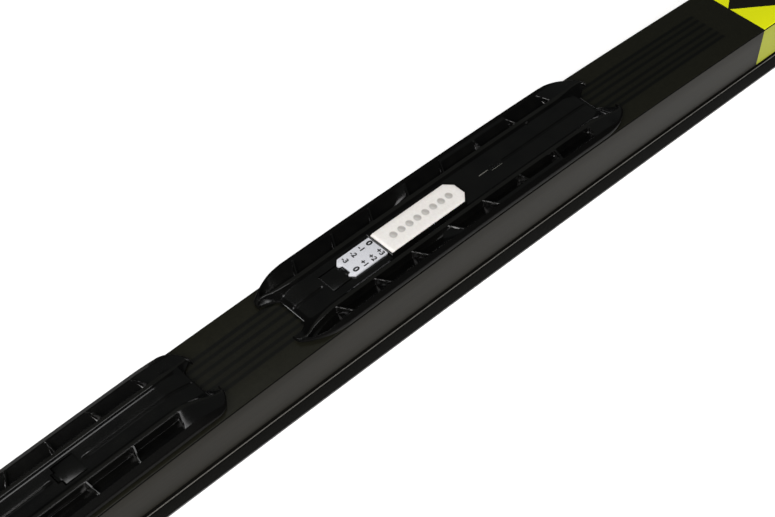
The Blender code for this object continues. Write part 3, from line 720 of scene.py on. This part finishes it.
def pocket_share(plate, s):
    """0 on a rib or outside the pockets, 1 in the open middle of a pocket."""
    start, full = (plate["rear_tip"] + d for d in HORN_POCKET)
    if s > plate["ribs"][-1]:
        return 0.0
    share = smooth((s - start) / (full - start))
    return share * min(flowing(abs(s - rib), RIB_SHAPE) for rib in plate["ribs"])


def pocket_outer(plate, s):
    """Outer edge of the pocket at a station; two pockets of the front plate are narrower."""
    ribs = plate["ribs"]
    index = max([i for i, rib in enumerate(ribs) if rib <= s], default=-1)
    narrow = plate is FRONT_PLATE and index in NARROW_POCKETS
    return plate["pocket_out"] - (NARROWER if narrow else 0.0)


def pocket_fall(plate, s):
    """Depth of the pocket's foot; one pocket of the front plate ramps up towards its rib."""
    ramped = plate is FRONT_PLATE and s < plate["ribs"][3]
    ramp = RAMP_SHARE * smooth((s - RAMP_START) / RAMP_LENGTH) if ramped else 0.0
    return plate["pocket_depth"] * (1 - ramp)


def crease(plate, s):
    """Depth of the fine groove along the channel floor."""
    share = max(smooth((s - a) / 1.5) * smooth((b - s) / 1.5) for a, b in plate["creases"])
    return 0.4 * share


def plate_row(plate, s, opened):
    """Half section at a station as (x, y, h), from the middle of the floor out to the rim,
    down and back under the plate. Opened stations stop at the notch's wall."""
    shift = lean(plate, s)
    floor_gap = min(s - notch_ends(plate)[0], notch_ends(plate)[1] - s)

    def grow(x):
        rear, front = x - plate["rear_tip"], plate["front_tip"] - x
        return smooth(min(rear / HORN_GROW, front / FRONT_GROW))

    def risen(key, x):
        return mix(plate["tip_height"], plate[key], grow(x))

    rim_x = s + shift
    half = plate_half(plate, rim_x)
    rim, land = half - 0.45, min(plate["pocket_out"], half - 1.15)
    here = grow(s)
    rail_out = min(ridge(plate, s), land - 0.5)
    rail_in = rail_out - (plate["rail_out"] - plate["rail_in"]) * mix(0.35, 1.0, here)
    rail = risen("rail", s)
    floor = mix(LOW_FLOOR, plate["floor"], min(max(floor_gap / FLOOR_CHAMFER, 0), 1))
    floor = min(floor, mix(LOW_FLOOR, plate["floor"], here) if here < 1 else floor)
    floor_edge = rail_in - (rail - floor) - 0.3
    widen = smooth(1 - floor_gap / 9.0)
    if floor_gap <= 0:
        ends = notch_half(plate, min(max(s, plate["rear_tip"]), plate["front_tip"]))
    else:
        ends = notch_half(plate, notch_ends(plate)[0 if s < plate["ribs"][4] else 1])
    floor_edge = mix(floor_edge, min(ends + 0.35, floor_edge), widen)
    lip = 0.28 * (1 - min(max(floor_gap / 0.5, 0), 1))
    deep = crease(plate, s)

    # channel floor, its side and the rail; the notch's wall at an open end
    slope = rail - floor
    rows = [(0.0, floor - deep - lip), (0.22, floor - deep - lip),
            (0.75, floor - 0.08 * deep - lip), (1.1, floor - lip),
            (0.5 * floor_edge, floor - lip), (floor_edge - 0.5, floor - lip),
            (floor_edge, floor + 0.05 * slope), (floor_edge + 0.35, floor + 0.2 * slope),
            (rail_in - 0.3, rail - 0.18 * slope), (rail_in - 0.08, rail - 0.04 * slope),
            (rail_in + 0.2, rail), (rail_out - 0.2, rail), (rail_out - 0.02, rail - 0.02)]
    if opened:
        end = min(ends, floor_edge)
        rows[:6] = [(end, mix(PLATE_BOTTOM / MM + 0.1, floor - 0.22, k / 5)) for k in range(6)]
        rows[6] = (end + 0.12, floor + 0.02)
    found = [(s, y, h) for y, h in rows]

    # pocket: steep wall under the rail, then a slope up to the land inside the rim
    share = pocket_share(plate, s)
    outer = min(pocket_outer(plate, s), land)
    reach = max(land - rail_out, 0.1)
    foot = min(POCKET_FOOT, 0.35 * (outer - rail_out))
    fall = pocket_fall(plate, s) * min(1.0, (outer - rail_out) / 3.0)
    spare = outer - rail_out - foot
    wall = [(0.10 * foot, 0.06), (0.24 * foot, 0.24), (0.8 * foot, 0.9), (foot, 0.985)]
    wall += [(foot + 0.06 * spare, 0.955)]
    wall += [(foot + t * spare, 1 - t) for t in (0.3, 0.6, 0.88)]
    wall += [(foot + 0.97 * spare, 0.045), (foot + spare + 0.02, 0.0)]
    wall += [(max(reach, foot + spare + 0.05), 0.0)]
    for offset, depth in wall:
        w = min(offset / reach, 1.0)
        x = s + shift * w
        line = mix(rail, risen("rim_in", x), w)
        found.append((x, rail_out + offset, line - fall * depth * share))

    # rim, outer wall and underside
    top = risen("rim_out", rim_x)
    edge = [(rim - 0.25, mix(risen("rim_in", rim_x), top, 0.85)), (rim, top - 0.03),
            (half - 0.2, top - 0.12), (half - 0.05, top - 0.3), (half, top - 0.6),
            (half, 1.95), (half - 0.08, 1.75), (half - 0.4, 1.45), (half - 1.1, 0.9)]
    inner = min(ends, floor_edge) if opened else 0.0
    edge += [(mix(half - 1.1, inner, 0.5), 0.9), (inner, 0.9)]
    under = [rim_x] * 9 + [mix(rim_x, s, 0.5), s]
    found += [(x, y, h) for x, (y, h) in zip(under, edge)]
    return found


def plate_stations(plate):
    """(station, opened) pairs: tips, notches, both sides of each rib, and even steps between."""
    rear, front = plate["rear_tip"], plate["front_tip"]
    first, last = notch_ends(plate)
    near_tip = (0, 0.2, 0.5, 1.0, 1.6, 2.3, 3.1, 4.0, 5.0, 6.0, 7.0, 7.8)
    marks = {rear + d for d in near_tip} | {front - d for d in near_tip}
    marks |= {rear + d for d in (10, 11.5, 13, 15, 17, 19)}
    marks |= {front - d for d in (10.2, 11.6, 13, 15, 17, 19)}
    for end, turn in ((first, 1), (last, -1)):
        marks |= {end + turn * d for d in (0.5, 1.0, 2.0, 3.4, 3.7, 4.0)}
    ribs = {rib + side * d for rib in plate["ribs"] for side in (1, -1) for d, _ in RIB_SHAPE}
    for a, b in plate["creases"]:
        marks |= {a, a + 0.7, a + 1.5, b - 1.5, b - 0.7, b}
    marks = {m for m in marks if min(abs(m - r) for r in ribs) > 0.2} | ribs
    marks = sorted(m for m in marks
                   if rear <= m <= front and min(abs(m - first), abs(m - last)) > 0.15)
    filled = []
    for a, b in zip(marks, marks[1:]):
        count = max(1, math.ceil((b - a) / 3.0))
        filled += [a + (b - a) * k / count for k in range(count)]
    filled.append(marks[-1])
    pairs = [(s, s < first or s > last) for s in filled]
    return sorted(pairs + [(first, True), (first, False), (last, True), (last, False)],
                  key=lambda p: (p[0], not p[1] if p[0] < 0.5 * (rear + front) else p[1]))


def plate_skin(plate):
    """Closed plate: two mirrored half skins joined down the channel. Slots: body, rim, rail top
    with painted sheen.
    """
    bm = bmesh.new()
    pairs = plate_stations(plate)
    for side in (1, -1):
        rows = []
        for s, opened in pairs:
            rows.append([bm.verts.new(on_plate(x, side * y, h))
                         for x, y, h in plate_row(plate, s, opened)])
        for (a, b), (pa, pb) in zip(zip(rows, rows[1:]), zip(pairs, pairs[1:])):
            for i in range(len(a) - 1):
                face = bm.faces.new((a[i], a[i + 1], b[i + 1], b[i]))
                face.material_index = 1 if i in RIM_STRIP else 2 if i in RAIL_SHEEN_STRIP else 0
            if pa[1] or pb[1]:
                bm.faces.new((a[-1], a[0], b[0], b[-1]))
        bm.faces.new(rows[0])
        bm.faces.new(rows[-1])
    bmesh.ops.remove_doubles(bm, verts=bm.verts, dist=0.002 * MM)
    bmesh.ops.dissolve_degenerate(bm, edges=bm.edges, dist=0.001 * MM)
    return bm


def tongue_outline(x, grow, turn):
    """Plan of a latch tongue with its nose; turn is 1 with the nose forward. grow widens the
    slot on every side but the hinged root."""
    back, shoulder = -ROOT_SLOT * (grow > 0), TONGUE_LENGTH + grow
    nose = TONGUE_LENGTH + NOSE_LENGTH + grow
    half, tip = TONGUE_HALF + grow, NOSE_HALF + grow
    plan = [(back, -half), (shoulder, -half), (shoulder, -tip), (nose, -tip),
            (nose, tip), (shoulder, tip), (shoulder, half), (back, half)]
    return [(x + turn * px, turn * py) for px, py in plan]


def rack_outline(grow):
    rear, front, half = RACK_REAR - grow, RACK_FRONT + grow, RACK_HALF + grow
    return [(rear, -half), (front - RACK_CHAMFER, -half), (front, -half + RACK_CHAMFER),
            (front, half - RACK_CHAMFER), (front - RACK_CHAMFER, half), (rear, half)]


def box_outline(x0, x1, y0, y1):
    return [(x0, y0), (x1, y0), (x1, y1), (x0, y1)]


def prism(bm, outline, low, high):
    add_skin(bm, [[on_plate(x, y, h) for x, y in outline] for h in (low, high)])


def build_plate(plate, mats, tongue):
    """Plate with the slot of its tongue and, in the front one, the seat of the rack."""
    obj = finish_mesh(plate["name"] + "_moulding", plate_skin(plate), mats)
    cutting = bmesh.new()
    prism(cutting, tongue_outline(*tongue), CUT_LOW, CUT_HIGH)
    if plate is FRONT_PLATE:
        prism(cutting, rack_outline(0.25), RACK_LOW - 0.1, CUT_HIGH)
    carve(obj, finish_mesh("cutter", cutting, []))
    obj.data.set_sharp_from_angle(angle=math.radians(26))
    put(obj, "ski", plate["name"])


def rack_ring(x):
    """Section of the lock rack: soft dimples, rounded upper edges, a ramp at its rear."""
    half = RACK_HALF - max(0.0, x - RACK_FRONT + RACK_CHAMFER)
    ends = min(x - RACK_REAR, RACK_FRONT - x)
    top = RACK_HIGH - RACK_EDGE * (1 - math.sqrt(1 - max(0.0, 1 - ends / RACK_EDGE) ** 2))
    top -= 0.5 * smooth(1 - (x - RACK_REAR) / 1.6)
    near = DIMPLE_PITCH * min(max(round(x / DIMPLE_PITCH), 0), DIMPLES - 1)
    rows = [(y, top + flowing(math.hypot(x - near, y), DIMPLE_SHAPE))
            for y in (DIMPLE_STEP * k for k in range(DIMPLE_STEPS))]
    rows.append((mix(rows[-1][0], half - RACK_EDGE, 0.5), top))
    for angle in (0, 30, 60, 90):
        a = math.radians(angle)
        rows.append((half - RACK_EDGE * (1 - math.sin(a)), top - RACK_EDGE * (1 - math.cos(a))))
    rows.append((half, RACK_LOW))
    return [on_plate(x, y, h) for y, h in rows + [(-y, h) for y, h in reversed(rows[1:])]]


def build_rack(mat):
    """White lock rack with its row of dimples."""
    dished = RACK_FRONT - RACK_REAR - 4
    xs = [RACK_REAR + d for d in (0, 0.04, 0.15, 0.3, 0.8, 1.2, 1.6)]
    xs += [RACK_REAR + 2 + dished * k / 150 for k in range(151)]
    xs += [RACK_FRONT - d for d in (1.4, 0.3, 0.15, 0.04, 0)]
    bm = bmesh.new()
    add_skin(bm, [rack_ring(x) for x in xs])
    put(finish_mesh("lock_rack", bm, [mat]), "ski", "front_lock_rack")


def add_frame(bm, outline, gap, width, low, high):
    """Upright band round a plan outline, a gap away from it."""
    inner, outer = offset_outline(outline, -gap), offset_outline(outline, -gap - width)
    rings = []
    for (xi, yi), (xo, yo) in zip(inner, outer):
        ring = [(xi, yi, low), (xi, yi, high - 0.08), (mix(xi, xo, 0.15), mix(yi, yo, 0.15), high),
                (mix(xi, xo, 0.8), mix(yi, yo, 0.8), high), (xo, yo, high - 0.15), (xo, yo, low)]
        rings.append([bm.verts.new(on_plate(*p)) for p in ring])
    for a, b in zip(rings, rings[1:] + rings[:1]):
        for i in range(len(a)):
            j = (i + 1) % len(a)
            bm.faces.new((a[i], a[j], b[j], b[i]))


def build_label(mat, ink):
    """Position label with its scale numbers, a little narrower on its right side."""
    notch, deep = LABEL_NOTCH, LABEL_NOTCH_DEPTH
    side = [(LABEL_REAR + deep, notch), (LABEL_REAR, notch + 0.4),
            (LABEL_REAR, LABEL_HALF - LABEL_CHAMFER), (LABEL_REAR + LABEL_CHAMFER, LABEL_HALF),
            (LABEL_FRONT, LABEL_HALF)]
    other = [(x, -y + LABEL_NARROWER * (y > notch + 0.5)) for x, y in reversed(side)]
    bm = bmesh.new()
    rounded_slab(bm, side + other, FRONT_PLATE["floor"] + 0.02, LABEL_TOP - DIGIT_THICK, 0.08)
    put(finish_mesh("position_film", bm, [mat]), "ski", "position_label")
    for y, texts in DIGIT_COLUMNS:
        for x, text in zip(DIGIT_ROWS, texts):
            add_digits(x, y, text, ink)


def add_digits(x, y, text, ink):
    """Scale number printed on the label, its top towards the tip of the ski."""
    curve = bpy.data.curves.new("digits", "FONT")
    size, weight = (ZERO_SIZE, ZERO_WEIGHT) if text == "0" else (DIGIT_SIZE, DIGIT_WEIGHT)
    curve.body, curve.size = text, size * MM
    curve.align_x, curve.align_y = "CENTER", "CENTER"
    curve.extrude, curve.offset = DIGIT_THICK / 2 * MM, weight * MM
    drawn = bpy.data.objects.new("digits", curve)
    bpy.context.scene.collection.objects.link(drawn)
    mesh = bpy.data.meshes.new_from_object(
        drawn.evaluated_get(bpy.context.evaluated_depsgraph_get()))
    bpy.data.objects.remove(drawn)
    origin = on_plate(x, y, LABEL_TOP - DIGIT_THICK / 2)
    up = (on_plate(x + 1, y, LABEL_TOP) - on_plate(x, y, LABEL_TOP)).normalized()
    right = Vector((0, -1, 0))
    turn = Matrix((right, up, right.cross(up))).transposed().to_4x4()
    mesh.transform(Matrix.Translation(origin) @ turn)
    name = "number_" + text.replace("+", "plus_").replace("-", "minus_")
    obj = bpy.data.objects.new(name + ("_left" if y > 0 else "_right"), mesh)
    bpy.context.scene.collection.objects.link(obj)
    mesh.materials.append(ink)
    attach(obj, "ski")


def build_tongue(name, body, plate, x, turn, nose_rise, mat):
    """Springy latch tongue with rounded edges and a nose that curls up."""
    low, high = plate["floor"] - TONGUE_THICK, plate["floor"]
    nose_x = x + turn * (TONGUE_LENGTH + NOSE_LENGTH)
    bm = bmesh.new()
    rounded_slab(bm, tongue_outline(x, 0, turn), low, high, TONGUE_EDGE)
    for k in range(NOSE_CUTS):
        place = on_plate(nose_x - turn * CUT_PITCH * (k + 1), 0, 0)
        bmesh.ops.bisect_plane(bm, geom=[*bm.verts, *bm.edges, *bm.faces],
                               plane_co=place, plane_no=(1, 0, 0))
    nose = on_plate(nose_x, 0, low)
    for vert in bm.verts:
        curl = smooth(1 - abs(vert.co.x - nose.x) / (NOSE_CURL * MM))
        vert.co.z += nose_rise * curl * (vert.co.z - nose.z) / (high - low)
    put(finish_mesh(name, bm, [mat], sharp=25), body, name.replace("_blade", "_tongue"))


def add_details(mat, paint):
    """Grey tick lines standing for the glint on a slot's rim, a painted highlight; grip bars, a
    stub and the lip round the rack's seat.
    """
    floor = FRONT_PLATE["floor"]
    # painted highlight: two thin raised lines in light grey where the slot's rim glints
    line = bmesh.new()
    rounded_slab(line, box_outline(52.2, 57.8, -0.08, 0.28), floor - 0.1, floor + 0.25, 0.1)
    rounded_slab(line, box_outline(59.0, 65.6, -1.35, -1.2), floor - 0.1, floor + 0.2, 0.05)
    pointer = finish_mesh("tick_painted_highlight", line, [paint])
    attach(pointer, "ski")
    bm = bmesh.new()
    for k in range(GRIP_BARS):
        x = GRIP_X + GRIP_PITCH * k
        bar = box_outline(x, x + GRIP_WIDTH, -GRIP_HALF, GRIP_HALF)
        rounded_slab(bm, bar, floor - 0.1, floor + 0.22, 0.1)
    rounded_slab(bm, box_outline(92.6, 93.4, 8.3, 9.0), floor - 0.1, floor + 1.0, 0.15)
    add_frame(bm, rack_outline(0), 0.2, 0.75, floor - 0.1, RACK_HIGH - 0.05)
    obj = finish_mesh("pointer_marks", bm, [mat])
    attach(obj, "ski")


def build_plates():
    gloss = gloss_material("gloss_plate", (4, 4, 4), (8, 8, 7))
    # painted reflection: the rear plate and its tongue in a lighter copy of the front plate's gloss
    # black
    rear_gloss_painted_reflection = gloss_material("gloss_rear_plate_painted_reflection", (5, 5, 5), (9, 9, 8))
    # painted sheen: the rails' tops in a lighter copy of the plates' gloss black
    rail = gloss_material("plate_rail_painted_sheen", (12, 12, 10), (16, 16, 14))
    rim = grained("plate_rim", (7, 7, 7), (13, 13, 12), (0.4, 0.55), 0.4 * MM, 0.008 * MM,
                  Specular_IOR_Level=0.03)
    build_plate(FRONT_PLATE, [gloss, rim, rail], (FRONT_TONGUE_X, SLOT, 1))
    build_plate(REAR_PLATE, [rear_gloss_painted_reflection, rim, rail], (REAR_TONGUE_X, SLOT, -1))
    build_tongue("front_latch_blade", "front_latch", FRONT_PLATE, FRONT_TONGUE_X, 1, 0.7, gloss)
    build_tongue("rear_latch_blade", "rear_latch", REAR_PLATE, REAR_TONGUE_X, -1, 0.5, rear_gloss_painted_reflection)
    build_rack(rack_material())
    film = label_material()
    ink = grained("printing_ink", (14, 14, 15), (22, 22, 24), (0.4, 0.5), 0.3 * MM, 0.004 * MM)
    build_label(film, ink)
    # painted highlight: light grey for the tick lines
    paint = grained("tick_highlight_grey", (86, 86, 82), (112, 112, 106), (0.4, 0.5), 0.3 * MM,
                    0.004 * MM)
    add_details(gloss, paint)


def dress_hidden_layers(nodes):
    """Finishes of the CAD pieces that keep their own mesh."""
    glass = woven_material("fibre_laminate", (60, 60, 54), (104, 104, 94))
    panel = woven_material("reinforcement_laminate", (110, 96, 66), (150, 134, 94))
    wood = wood_material()
    foam = grained("spacer_plastic", (70, 70, 70), (92, 92, 92), (0.55, 0.7), 0.6 * MM, 0.03 * MM)
    tape = grained("adhesive_tape", (16, 16, 16), (26, 26, 26), (0.7, 0.85), 0.4 * MM, 0.02 * MM)
    finishes = {"lower_laminate": glass, "upper_laminate": glass, "binding_reinforcement": panel,
                "core_stringer_left": wood, "core_stringer_right": wood, "core_spine": wood,
                "tip_spacer": foam, "tail_spacer": foam,
                "front_plate_adhesive": tape, "rear_plate_adhesive": tape}
    for name, mat in finishes.items():
        for holder in nodes[name].material_slots:
            holder.material = mat


# --- Studio -------------------------------------------------------------------

def add_camera():
    az, el, roll = (math.radians(a) for a in (CAMERA_AZIMUTH, CAMERA_ELEVATION, CAMERA_ROLL))
    back = Vector((math.sin(az) * math.cos(el), -math.cos(az) * math.cos(el), math.sin(el)))
    right = Vector((math.cos(az), math.sin(az), 0))
    up = back.cross(right)
    right, up = (math.cos(roll) * right + math.sin(roll) * up,
                 math.cos(roll) * up - math.sin(roll) * right)
    tilt = Matrix.Rotation(-math.atan(CAMERA_PITCH), 3, "Y")
    axes = Matrix((tilt @ right, tilt @ up, tilt @ back)).transposed()
    camera = bpy.data.objects.new("camera", bpy.data.cameras.new("camera"))
    camera.data.lens = CAMERA_LENS
    camera.data.clip_start = 0.01
    camera.matrix_world = Matrix.Translation(CAMERA_AT) @ axes.to_4x4()
    bpy.context.scene.collection.objects.link(camera)
    bpy.context.scene.camera = camera


def add_light(name, place, target, size, power, colour):
    """Soft rectangular studio light."""
    lamp = bpy.data.lights.new(name, "AREA")
    lamp.shape, lamp.size, lamp.size_y = "RECTANGLE", *size
    lamp.energy, lamp.color = power, colour
    obj = bpy.data.objects.new(name, lamp)
    obj.location = place
    obj.rotation_euler = (Vector(target) - Vector(place)).to_track_quat("-Z", "Y").to_euler()
    bpy.context.scene.collection.objects.link(obj)


def add_studio():
    world = bpy.data.worlds.new("studio")
    world.use_nodes = True
    world.node_tree.nodes["Background"].inputs[0].default_value = (0.9, 0.95, 1.0, 1)
    world.node_tree.nodes["Background"].inputs[1].default_value = 0.02
    bpy.context.scene.world = world
    bm = bmesh.new()
    bmesh.ops.create_grid(bm, x_segments=1, y_segments=1, size=6.0)
    paper = Surface("backdrop", 0.9, Emission_Color=(1, 1, 1, 1), Emission_Strength=0.62)
    paper.colour(paper.ramp(paper.noise(0.4, 2), ((0.3, linear((242, 242, 240))),
                                                  (0.7, linear((246, 246, 245))))))
    finish_mesh("floor", bm, [paper.mat])
    middle = Vector((-0.1, 0, 0.05))
    for name, way, distance, size, power, colour in LIGHTS:
        add_light(name, middle + distance * Vector(way).normalized(), middle, size, power, colour)


def main():
    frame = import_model()
    bpy.context.scene.view_settings.view_transform = "Standard"
    dress_hidden_layers(frame["nodes"])
    build_body()
    build_plates()
    add_camera()
    add_studio()


main()
